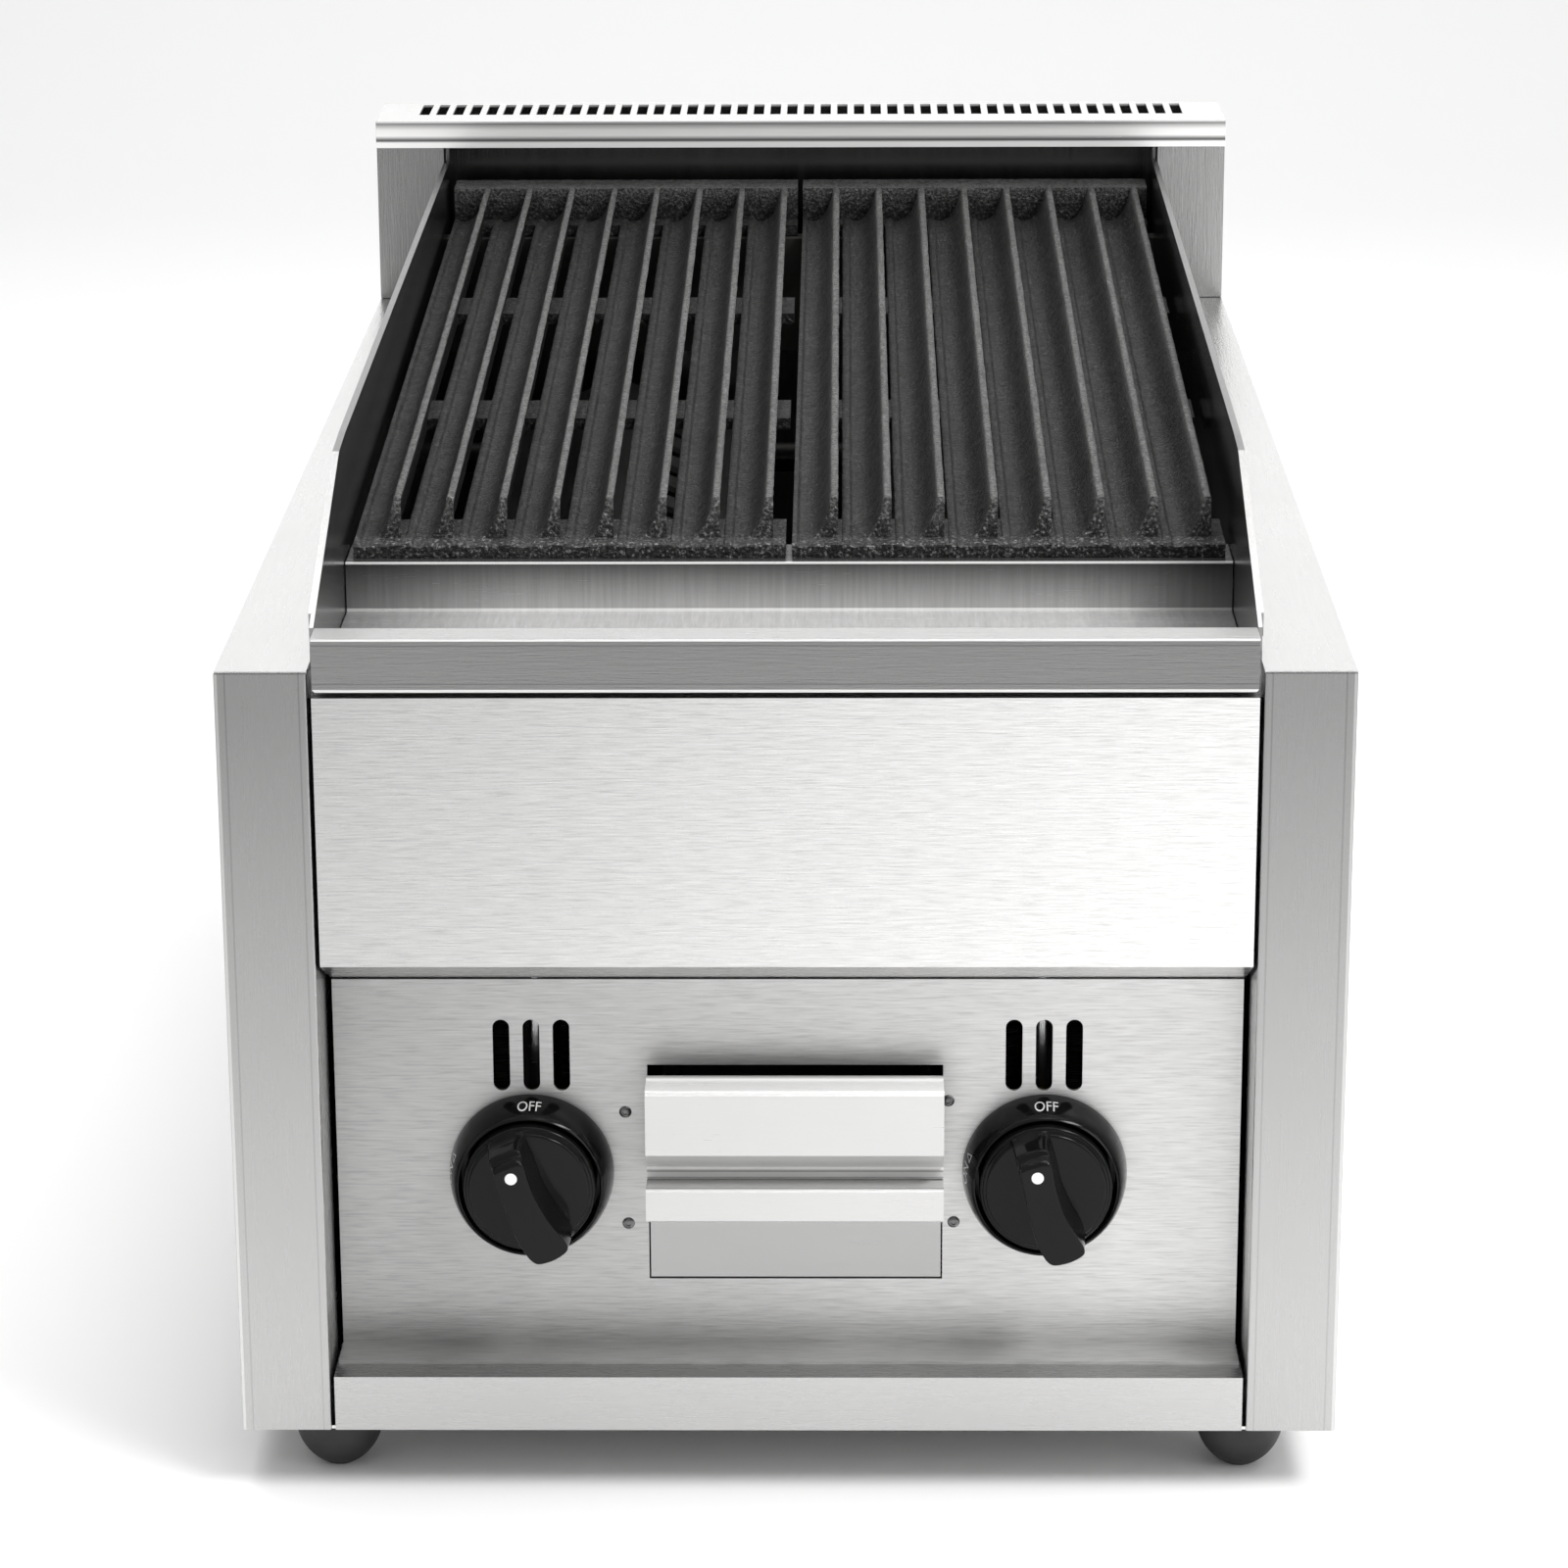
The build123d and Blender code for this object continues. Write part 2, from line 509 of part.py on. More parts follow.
with BuildPart() as pull:
    side_view([(y, bottom + z) for y, z in (
        (19.2, 131.4), (17.6, 131.4), (17.2, 130.5), (5.4, 130.5), (4.0, 129.2), (4.0, 106.2), (15.4, 97.4),
        (14.6, 96.4), (14.6, 93.2), (15.6, 92.4), (5.6, 92.4), (5.2, 93.4), (3.6, 93.6), (2.6, 92.6), (2.6, 81.4),
        (3.2, 80.8), (4.4, 81.4), (4.4, 90.4), (panel_y, 90.4), (panel_y, 99.6), (16.4, 99.6), (6.0, 107.2),
        (6.0, 128.5), (19.2, 128.5))], (drawer_x - 53.9, drawer_x + 53.9))
save(pull.part, "drawer_pull")

with BuildPart() as runners:
    for s in (-1, 1):
        x = drawer_x + s * 54.6
        slab((x, x + s * sheet), (panel_y + sheet + 0.1, 330), (bottom + 52, bottom + 124))
        slab((x, x + s * 10.4), (panel_y + sheet + 0.1, panel_y + sheet + 1.3), (bottom + 52, bottom + 124))
        slab((x, x - s * 2.6), (33, 330), (bottom + 88.6, bottom + 89.8))
        slab((x, x - s * 2.6), (33, 330), (bottom + 91.4, bottom + 92.6))
        slab((x, x + s * sheet), (322, 330), (bottom + sheet, bottom + 52))
        slab((x, x + s * 12), (322, 330), (bottom + sheet, bottom + 2 * sheet))
    for x, z in ((-59.4, 113.2), (-58.8, 69.4), (58.6, 117.6), (60.8, 70.0)):
        rod_y(x, bottom + z, (30, 36), 1.75, Mode.SUBTRACT)
save(runners.part, "drawer_runners")

with BuildPart() as panel_screws:
    for x, z in ((-59.4, 113.2), (-58.8, 69.4), (58.6, 117.6), (60.8, 70.0)):
        rod_y(x, bottom + z, (panel_y - 0.9, panel_y), 2.3)
        rod_y(x, bottom + z, (panel_y, 36), 1.75)
        rod_y(x, bottom + z, (panel_y - 1.0, panel_y - 0.4), 1.2, Mode.SUBTRACT)
save(panel_screws.part, "panel_screws")

# ---- flue riser --------------------------------------------------------------------------
with BuildPart() as riser:
    slab((-200, 200), (depth - sheet, depth), (0.3, riser_height - sheet - 0.3))
    for s in (-1, 1):
        slab((s * 200, s * 198.8), (riser_y, depth - sheet), (0.3, riser_height - sheet - 0.3))
        slab((s * 198.8, s * (inner + liner_sheet + 1)), (riser_y, riser_y + sheet), (0.3, riser_height - sheet - 0.3))
save(riser.part, "riser")

with BuildPart() as riser_cap:
    folded([(depth, riser_height - sheet), (depth, riser_height), (riser_y - 2.4, riser_height), (riser_y - 2.4, riser_height - 12.4),
            (riser_y - 0.2, riser_height - 12.4)][1:], (-200, 200), sheet, 3.4)
    with Locations(*[(-178.7 + i * 7.942, riser_y + 32 + front, riser_height + top) for i in range(46)]):
        Box(4.9, 29.0, 10, mode=Mode.SUBTRACT)
save(riser_cap.part, "riser_cap")

with BuildPart() as rivets:
    for z in (-30, -140, -250):
        for x in (-192.5, 192.5):
            rod_y(x, z, (rear_panel_y - 1.6, rear_panel_y), 2.0)
            rod_y(x, z, (rear_panel_y + sheet, rear_panel_y + 2.6), 3.2)
save(rivets.part, "rear_rivets")
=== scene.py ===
import bpy
import bmesh
import json
import math
from mathutils import Matrix, Vector


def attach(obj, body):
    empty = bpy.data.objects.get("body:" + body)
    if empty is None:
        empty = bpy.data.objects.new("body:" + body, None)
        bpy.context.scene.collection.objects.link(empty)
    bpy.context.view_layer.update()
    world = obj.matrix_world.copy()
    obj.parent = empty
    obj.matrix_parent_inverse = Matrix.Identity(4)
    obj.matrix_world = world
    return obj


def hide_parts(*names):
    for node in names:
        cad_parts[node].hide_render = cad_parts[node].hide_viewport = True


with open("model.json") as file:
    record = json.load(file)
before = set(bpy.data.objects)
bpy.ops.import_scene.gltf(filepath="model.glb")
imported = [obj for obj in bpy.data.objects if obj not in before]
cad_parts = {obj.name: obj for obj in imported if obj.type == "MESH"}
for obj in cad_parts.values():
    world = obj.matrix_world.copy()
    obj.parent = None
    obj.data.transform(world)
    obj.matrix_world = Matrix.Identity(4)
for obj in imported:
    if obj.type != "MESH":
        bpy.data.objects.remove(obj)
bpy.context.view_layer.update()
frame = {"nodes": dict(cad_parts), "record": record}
slotOf = {s["node"]: s["material_slot"] for s in frame["record"]["subparts"]}
print("frame loaded:", len(slotOf), "nodes")

# places that several pieces share, in metres: front is the posts' faces, inner half the width between them
place = {"front": -0.350, "inner": 0.166, "knobX": 0.094, "knobZ": 0.114, "panelY": -0.320,
         "grateY": -0.219, "grateZ": 0.3252}


class Wire:  # a socket that takes part in sums
    def __init__(self, graph, socket):
        self.graph, self.socket = graph, socket

    def maths(self, kind, first, second=None, clamp=False):
        values = {0: first} if second is None else {0: first, 1: second}
        return self.graph.node("Math", {"operation": kind, "use_clamp": clamp}, values)

    def __add__(self, other): return self.maths("ADD", self, other)
    def __radd__(self, other): return self.maths("ADD", other, self)
    def __sub__(self, other): return self.maths("SUBTRACT", self, other)
    def __rsub__(self, other): return self.maths("SUBTRACT", other, self)
    def __mul__(self, other): return self.maths("MULTIPLY", self, other)
    def __rmul__(self, other): return self.maths("MULTIPLY", other, self)
    def __pow__(self, other): return self.maths("POWER", self, other)
    def __gt__(self, other): return self.maths("GREATER_THAN", self, other)
    def __lt__(self, other): return self.maths("LESS_THAN", self, other)
    def clamped(self): return self.maths("ADD", self, 0.0, True)
    def absolute(self): return self.maths("ABSOLUTE", self)


class Graph:  # any node tree, filled one node at a time
    def __init__(self, tree):
        self.tree = tree

    def node(self, kind, settings=None, values=None, out=0):
        made = self.tree.nodes.new(kind if "Node" in kind else "ShaderNode" + kind)
        for key, value in (settings or {}).items():
            if key == "stops":
                ramp = made.color_ramp
                while len(ramp.elements) < len(value):
                    ramp.elements.new(0.5)
                for element, (at, shade) in zip(ramp.elements, value):
                    element.position = at
                    element.color = shade if len(shade) == 4 else (*shade, 1)
            else:
                setattr(made, key, value)
        for key, value in (values or {}).items():
            if isinstance(value, Wire):
                self.tree.links.new(value.socket, made.inputs[key])
            else:
                made.inputs[key].default_value = value
        return Wire(self, made.outputs[out]) if len(made.outputs) else None


class Shade(Graph):  # one material and the nodes in it
    def __init__(self, name):
        self.material = bpy.data.materials.new(name)
        self.material.use_nodes = True
        super().__init__(self.material.node_tree)
        self.tree.nodes.clear()
        self.where = self.node("TexCoord", out="Object")

    def axis(self, letter):
        return self.node("SeparateXYZ", {}, {0: self.where}, out="xyz".index(letter))

    def noise(self, scale, stretch=(1, 1, 1), detail=3.0, rough=0.5):
        spot = self.node("Mapping", {}, {"Vector": self.where, "Scale": stretch})
        return self.node("TexNoise", {}, {"Vector": spot, "Scale": scale, "Detail": detail, "Roughness": rough})

    def blend(self, amount, low, high):
        return self.node("Mix", {"data_type": "RGBA"}, {0: amount, 6: low, 7: high}, out=2)

    def spread(self, value, low, high, toLow=0.0, toHigh=1.0):
        return self.node("MapRange", {}, {0: value, 1: low, 2: high, 3: toLow, 4: toHigh})

    def bump(self, height, strength, distance):
        return self.node("Bump", {}, {"Height": height, "Strength": strength, "Distance": distance})

    def finish(self, **values):
        names = {"colour": "Base Color", "metal": "Metallic", "rough": "Roughness", "normal": "Normal",
                 "specular": "Specular IOR Level"}
        surface = self.node("BsdfPrincipled", {}, {names[k]: v for k, v in values.items()})
        self.node("OutputMaterial", {}, {"Surface": surface})
        return self.material


def grey(level):
    return (level, level, level, 1)


# the brushed grain: noise scales, and how much faster it changes across the strokes than along them
steel = {"fine": 15, "coarse": 4.8, "across": 100, "lengthways": 5, "clouds": 9, "strokes": 85, "strokeLength": 16,
         "bump": 0.3, "relief": 0.0004}
# the trough inside the front trim, from its inner face: heights of its wall, bends and floor, with their levels of
# painted light and shade
trough = {"from": -0.3352, "base": 0.3016, "brim": 0.3192, "bend": -0.2241, "flange": 0.3248, "deep": 0.08,
          "shallow": 0.50, "floor": 0.60, "metal": 0.45, "cornerFade": 0.105, "paintedCornerShade": 0.45, "paintedBaseHighlight": 0.5,
          "paintedBendHighlight": 0.95, "paintedBrimShadow": 0.05, "paintedFlangeHighlight": 0.62}
sheets = {  # levels are painted light and shade on one steel; each level runs from one end of the span to the other along its axis, in metres, as a painted light gradient; lines of painted highlight and shade lie across an axis
    "upperPanel": {"along": "x", "paintedLightAxis": "x", "span": (-0.17, 0.17), "levels": (0.50, 0.78), "rough": 0.27,
                   "mark": 0.11, "dashes": 0.11},
    "controlPanel": {"along": "x", "paintedLightAxis": "x", "span": (-0.17, 0.17), "levels": (0.36, 0.66), "rough": 0.32,
                     "mark": 0.14, "dashes": 0.13, "metal": 0.6},
    "post": {"along": "z", "paintedLightAxis": "z", "span": (0.30, 0.03), "levels": (0.27, 0.47), "rough": 0.27, "mark": 0.06,
             "paintedLightLines": (("x", 0.1993, 0.0005, 0.16), ("x", 0.1673, 0.0005, 0.20), ("x", 0.1962, 0.0003, -0.06),
                       ("x", 0.1703, 0.0003, -0.06))},
    "side": {"along": "y", "paintedLightAxis": "y", "span": (-0.35, 0.30), "levels": (0.74, 0.80), "rough": 0.26, "mark": 0.05},
    "trim": {"along": "x", "paintedLightAxis": "x", "span": (-0.17, 0.17), "levels": (0.25, 0.23), "rough": 0.25, "mark": 0.05,
             "paintedLightLines": (("z", 0.3244, 0.0004, 0.65), ("z", 0.3060, 0.0005, 0.50), ("z", 0.3224, 0.0003, -0.06),
                       ("z", 0.3085, 0.0003, -0.06)), "well": trough},
    "rail": {"along": "x", "paintedLightAxis": "x", "span": (-0.17, 0.17), "levels": (0.48, 0.52), "rough": 0.27, "mark": 0.06},
    "drawerPull": {"along": "x", "paintedLightAxis": "x", "span": (-0.06, 0.06), "levels": (0.60, 0.62), "rough": 0.30,
                   "mark": 0.02, "metal": 0.35,
                   "paintedLightLines": (("z", 0.1546, 0.0004, 0.38), ("z", 0.1211, 0.0004, 0.35), ("z", 0.1201, 0.0003, -0.3),
                             ("z", 0.1176, 0.0003, -0.25))},
    "drawerFront": {"along": "x", "paintedLightAxis": "z", "span": (0.07, 0.15), "levels": (0.36, 0.36), "rough": 0.24,
                    "mark": 0.02},
    "well": {"along": "z", "paintedLightAxis": "y", "span": (-0.33, 0.3), "levels": (0.30, 0.16), "rough": 0.2, "mark": 0.08},
    "riser": {"along": "z", "paintedLightAxis": "x", "span": (-0.2, 0.2), "levels": (0.30, 0.42), "rough": 0.25, "mark": 0.06},
    "cap": {"along": "x", "paintedLightAxis": "x", "span": (-0.2, 0.2), "levels": (0.62, 0.66), "rough": 0.24, "mark": 0.05,
            "metal": 0.45,
            "paintedReflectionBands": ("z", 0.3853, 0.3974, ((0.0, 0.55), (0.05, 1.0), (0.22, 1.0), (0.30, 0.10), (0.36, 0.22),
                                            (0.50, 1.0), (0.72, 0.92), (0.90, 0.45), (0.97, 0.20), (1.0, 0.62)))},
    "mill": {"along": "x", "paintedLightAxis": "y", "span": (-0.3, 0.3), "levels": (0.40, 0.40), "rough": 0.38, "mark": 0.08},
}


def troughPaintedLight(shade, level, well):  # inside the trough the sheet is duller, and its levels are painted light: painted shade on the wall, painted highlights on the bends and flange top, a painted shadow on the brim and a lighter floor
    height, inside = shade.axis("z"), shade.axis("y") > well["from"]
    # painted shade: the wall is darker towards its brim and towards the trough's corners
    middle = shade.spread(shade.axis("x").absolute(), place["inner"], well["cornerFade"], well["paintedCornerShade"], 1.0)
    wall = shade.spread(height, well["brim"], well["base"], well["deep"], well["shallow"]) * middle
    wall = wall * (1 + (shade.noise(7, (100, 8, 4), 3, 0.6) - 0.5) * 0.5)
    # painted highlight along the bend at the wall's base
    wall = wall + ((height - well["base"]).absolute() < 0.0006) * well["paintedBaseHighlight"]
    # painted highlight on the brim's bend, and painted shadow on the brim behind it
    bend = (shade.axis("y") < well["bend"]) * well["paintedBendHighlight"]
    wall = wall + (height > well["brim"]) * (well["paintedBrimShadow"] + bend - wall)
    # painted light: the floor gets a lighter level than the wall
    wall = wall + (height < well["base"] - 0.0006) * (well["floor"] - wall)
    # painted highlight on the flange top
    level = level + (height > well["flange"]) * (well["paintedFlangeHighlight"] - level)
    return level + inside * (wall - level), 1 - inside * (1 - well["metal"])


def brushedSteel(name, along, paintedLightAxis, span, levels, rough, mark, dashes=0.0, paintedLightLines=(), metal=1.0, paintedReflectionBands=None,
                 well=None):
    shade = Shade(name)
    stretch = [steel["lengthways"] if letter == along else steel["across"] for letter in "xyz"]
    fine = shade.noise(steel["fine"], stretch, 4, 0.7)
    coarse = shade.noise(steel["coarse"], stretch, 3, 0.6)
    clouds = shade.noise(steel["clouds"], (1, 1, 1), 3, 0.55)
    grain = fine * 0.6 + coarse * 0.4
    # painted light: the level grows lighter or darker along the axis, where the light falls on the sheet
    level = shade.spread(shade.axis(paintedLightAxis), *span, *levels) * (1 + (clouds - 0.5) * 0.12)
    level = level * (1 + (grain - 0.5) * mark * 3)
    if dashes:  # short darker strokes left by the brushing belt
        strokes = shade.noise(steel["strokes"], (1.0, steel["strokeLength"], steel["strokeLength"]), 2, 0.5)
        dark, pale = shade.spread(strokes, 0.53, 0.66), shade.spread(strokes, 0.46, 0.34)
        level = level * (1 - dark * dashes + pale * dashes * 0.6)
    if paintedReflectionBands:  # painted reflection: the rolled profile's mirrored surroundings are painted into the level as stripes
        letter, start, end, stops = paintedReflectionBands
        stripes = shade.node("ValToRGB", {"stops": [(at, (v, v, v)) for at, v in stops]},
                             {0: shade.spread(shade.axis(letter), start, end)})
        level = level + (shade.axis(letter) < end) * (stripes - level)
    # painted highlights (bright lines) and painted shade (dark lines) along the bends
    for letter, at, half, amount in paintedLightLines:
        spot = shade.axis(letter)
        level = level + ((spot.absolute() - at).absolute() < half) * amount
    roughness = rough + (coarse - 0.5) * 0.14 + (clouds - 0.5) * 0.06
    if well:
        level, metal = troughPaintedLight(shade, level, well)
    colour = shade.node("CombineColor", {}, {0: level * 1.003, 1: level, 2: level * 0.992})
    return shade.finish(colour=colour, metal=metal, rough=roughness,
                        normal=shade.bump(grain, steel["bump"], steel["relief"]))


iron = {"sand": 700, "grain": 760, "lumps": 170, "patches": 30, "base": 0.008, "patchy": 0.016, "wornAndLit": 0.070,
        "wornAndLitFrom": 0.0020, "wornAndLitTo": 0.0150, "lip": 0.012, "lipEnds": (-0.2045, -0.2105), "paintedGlintLevel": 0.24,
        "relief": 0.0018}


def castIron(name, slope, foot):  # slope of the cooking surface, foot the height of its plane at y 0
    shade = Shade(name)
    sand = shade.noise(iron["sand"], detail=4, rough=0.7)
    grain = shade.spread(shade.noise(iron["grain"], detail=3, rough=0.75), 0.40, 0.60)
    lumps = shade.noise(iron["lumps"], detail=3, rough=0.5)
    patches = shade.noise(iron["patches"], detail=3, rough=0.6)
    # painted glints: small bright specks for sand grains catching the light, stronger towards the front lip
    paintedGlints = shade.spread(shade.noise(iron["grain"], detail=3, rough=0.7), 0.56, 0.68)
    # lighter towards the fins' tops and darker down in the troughs: partly wear, partly painted light; the worn tops
    # are also smoother
    aboveTroughs = shade.axis("z") - shade.axis("y") * slope - foot
    wornAndLit = shade.spread(aboveTroughs, iron["wornAndLitFrom"], iron["wornAndLitTo"]) ** 1.6
    wornAndLit = (wornAndLit * (0.45 + patches * 0.9)).clamped()
    lip = shade.spread(shade.axis("y"), *iron["lipEnds"])
    level = iron["base"] + patches * iron["patchy"] + wornAndLit * iron["wornAndLit"] + lip * iron["lip"]
    level = level * (0.30 + grain * 1.4)
    body = shade.node("CombineColor", {}, {0: level, 1: level, 2: level * 0.98})
    colour = shade.blend(paintedGlints * (0.30 + lip * 0.70), body, grey(iron["paintedGlintLevel"]))
    return shade.finish(colour=colour, metal=0.4, specular=0.3, rough=0.5 + (lumps - 0.5) * 0.3 - wornAndLit * 0.1,
                        normal=shade.bump(sand * 0.6 + lumps * 0.4, 1.0, iron["relief"]))


def glossBlack(name, rough):
    shade = Shade(name)
    waves = shade.noise(40, detail=2)
    fine = shade.noise(3000, detail=2)
    return shade.finish(colour=shade.blend(waves, grey(0.004), grey(0.007)), rough=rough + (waves - 0.5) * 0.05,
                        specular=0.16, normal=shade.bump(fine, 0.03, 0.0002))


def rubber(name):
    shade = Shade(name)
    grainy = shade.noise(1200, detail=4, rough=0.6)
    return shade.finish(colour=shade.blend(grainy, grey(0.012), grey(0.022)), rough=0.55 + (grainy - 0.5) * 0.2,
                        normal=shade.bump(grainy, 0.3, 0.0003))


def plainMetal(name, colour, rough=0.3, metal=1.0):
    shade = Shade(name)
    mottle = shade.noise(300, detail=4, rough=0.6)
    low = tuple(c * 0.88 for c in colour) + (1,)
    high = tuple(min(1, c * 1.08) for c in colour) + (1,)
    return shade.finish(colour=shade.blend(mottle, low, high), metal=metal, rough=rough + (mottle - 0.5) * 0.15,
                        normal=shade.bump(mottle, 0.15, 0.0003))


def paint(name, level):
    shade = Shade(name)
    mottle = shade.noise(900, detail=3)
    return shade.finish(colour=shade.blend(mottle, grey(level * 0.92), grey(level)), rough=0.5 + (mottle - 0.5) * 0.1)


# the grates, in metres: rise over run is their tilt, bridges join the fins' feet from one depth to another
grate = {"rise": 0.0285, "run": 0.530, "fins": 8, "pitch": 0.020, "firstFin": 0.0138, "width": 0.162, "gap": 0.0024,
         "depth": 0.0053, "tall": 0.0145, "finStart": 0.0118, "rimStart": 0.5125, "rough": 0.00042, "grain": 330.0,
         "bridges": ((0.0, 0.033), (0.172, 0.199), (0.338, 0.366), (0.500, 0.514))}
slope = grate["rise"] / grate["run"]
finishes = {
    **{name: brushedSteel(name + "Steel", **sheet) for name, sheet in sheets.items()},
    "iron": castIron("sandCastIron", slope, place["grateZ"] - place["grateY"] * slope),
    "knob": glossBlack("knobBlack", 0.10),
    "bezel": glossBlack("bezelBlack", 0.12),
    "rubber": rubber("footRubber"),
    "zinc": plainMetal("zincPlate", (0.6, 0.6, 0.58), 0.3),
    "brass": plainMetal("machinedBrass", (0.7, 0.5, 0.22), 0.25),
    "tube": plainMetal("drawnTube", (0.75, 0.75, 0.76), 0.25),
    "screw": plainMetal("darkScrew", (0.16, 0.16, 0.16), 0.35),
    "white": paint("pointerWhite", 0.85),
    "print": paint("printedWhite", 0.75),
    "pipe": plainMetal("blackPipe", (0.03, 0.03, 0.03), 0.4, 0.2),
    "burnt": plainMetal("burntSteel", (0.06, 0.058, 0.055), 0.5, 0.8),
}
finishOfSlot = {"cabinet_steel": "rail", "drawer_steel": "mill", "firebox_steel": "mill", "radiant_steel": "mill",
                "burner_steel": "mill", "cast_iron": "iron", "knob_black": "knob", "bezel_black": "bezel",
                "foot_rubber": "rubber", "zinc_steel": "zinc", "brass": "brass", "tube_aluminium": "tube",
                "pipe_steel": "pipe"}
finishOfNode = {"side_left": "side", "side_right": "side", "post_left": "post", "post_right": "post",
                "splash_guard_left": "well", "splash_guard_right": "well", "firebox_back": "well",
                "upper_panel": "upperPanel", "control_panel": "controlPanel", "grease_gutter": "trim",
                "drawer_pull": "drawerPull", "radiant_rests": "burnt", "burner_left": "burnt", "burner_right": "burnt",
                "pilot_burners": "burnt", "grate_rest": "burnt", "burner_rest": "burnt",
                "drawer_front": "drawerFront", "riser": "riser", "riser_cap": "cap"}
for name, node in frame["nodes"].items():
    finish = finishes[finishOfNode.get(name, finishOfSlot[slotOf[name]])]
    node.data.materials.clear()
    node.data.materials.append(finish)
print("finishes given to the frame")


def keep(name, mesh, finish, body, stands=(), sharp=35):  # gives a finished mesh its body
    for face in mesh.polygons:
        face.use_smooth = True
    mesh.set_sharp_from_angle(angle=math.radians(sharp))
    mesh.materials.clear()
    mesh.materials.append(finishes[finish])
    piece = bpy.data.objects.new(name, mesh)
    bpy.context.collection.objects.link(piece)
    if stands:
        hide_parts(*stands)
    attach(piece, body)


def outwards(mesh):
    shape = bmesh.new()
    shape.from_mesh(mesh)
    bmesh.ops.recalc_face_normals(shape, faces=shape.faces)
    shape.to_mesh(mesh)
    shape.free()
    return mesh


def ringed(loops):  # skins a row of equal loops of points and shuts both ends
    points = [p for loop in loops for p in loop]
    n = len(loops[0])
    faces = [(r * n + i, r * n + (i + 1) % n, (r + 1) * n + (i + 1) % n, (r + 1) * n + i)
             for r in range(len(loops) - 1) for i in range(n)]
    faces += [tuple(range(n))[::-1], tuple(range((len(loops) - 1) * n, len(loops) * n))]
    mesh = bpy.data.meshes.new("skin")
    mesh.from_pydata(points, [], faces)
    return outwards(mesh)


def openTree(name, wanted):  # a geometry tree with named inputs, handed back with those inputs as wires
    tree = bpy.data.node_groups.new(name, "GeometryNodeTree")
    for label, kind in {"Geometry": "Geometry", **wanted}.items():
        tree.interface.new_socket(label, in_out="INPUT", socket_type="NodeSocket" + kind)
    tree.interface.new_socket("Geometry", in_out="OUTPUT", socket_type="NodeSocketGeometry")
    graph = Graph(tree)
    outlets = graph.node("NodeGroupInput").socket.node.outputs
    return graph, {socket.name: Wire(graph, socket) for socket in outlets if socket.name}


def grown(mesh, tree, values):  # runs a tree over a mesh and hands back the finished mesh
    holder = bpy.data.objects.new("holder", mesh)
    bpy.context.collection.objects.link(holder)
    modifier = holder.modifiers.new("grow", "NODES")
    modifier.node_group = tree
    named = {item.name: item.identifier for item in tree.interface.items_tree if item.in_out == "INPUT"}
    for name, value in values.items():
        modifier[named[name]] = value
    ready = holder.evaluated_get(bpy.context.evaluated_depsgraph_get())
    result = bpy.data.meshes.new_from_object(ready)
    bpy.data.objects.remove(holder)
    return result


def joined(name, meshes):
    shape = bmesh.new()
    for mesh in meshes:
        shape.from_mesh(mesh)
    result = bpy.data.meshes.new(name)
    shape.to_mesh(result)
    shape.free()
    return result


def castRow():  # one casting cell repeated side by side, roughened as sand leaves it
    row, given = openTree("castRow", {"Count": "Int", "Pitch": "Vector", "Roughness": "Float", "Grain": "Float",
                                      "Seed": "Float", "Tilt": "Float", "Place": "Vector", "Iron": "Material"})
    line = row.node("GeometryNodeMeshLine", {}, {"Count": given["Count"], "Offset": given["Pitch"]})
    copies = row.node("GeometryNodeInstanceOnPoints", {}, {"Points": line, "Instance": given["Geometry"]})
    solid = row.node("GeometryNodeRealizeInstances", {}, {0: copies})
    spot = row.node("GeometryNodeInputPosition")
    sand = row.node("TexNoise", {"noise_dimensions": "4D"}, {"Vector": spot, "W": given["Seed"], "Detail": 2.0,
                                                              "Scale": given["Grain"], "Roughness": 0.65})
    swell = (sand - 0.5) * given["Roughness"] * 2.0
    facing = row.node("GeometryNodeInputNormal")
    push = row.node("VectorMath", {"operation": "SCALE"}, {0: facing, "Scale": swell})
    rough = row.node("GeometryNodeSetPosition", {}, {"Geometry": solid, "Offset": push})
    turned = row.node("CombineXYZ", {}, {0: given["Tilt"]})
    laid = row.node("GeometryNodeTransform", {}, {"Geometry": rough, "Translation": given["Place"],
                                                  "Rotation": turned})
    done = row.node("GeometryNodeSetMaterial", {}, {"Geometry": laid, "Material": given["Iron"]})
    row.node("NodeGroupOutput", {}, {0: done})
    return row.tree


rowTree = castRow()


def along(start, end, step):
    count = max(1, round((end - start) / step))
    return [start + (end - start) * i / count for i in range(count + 1)]


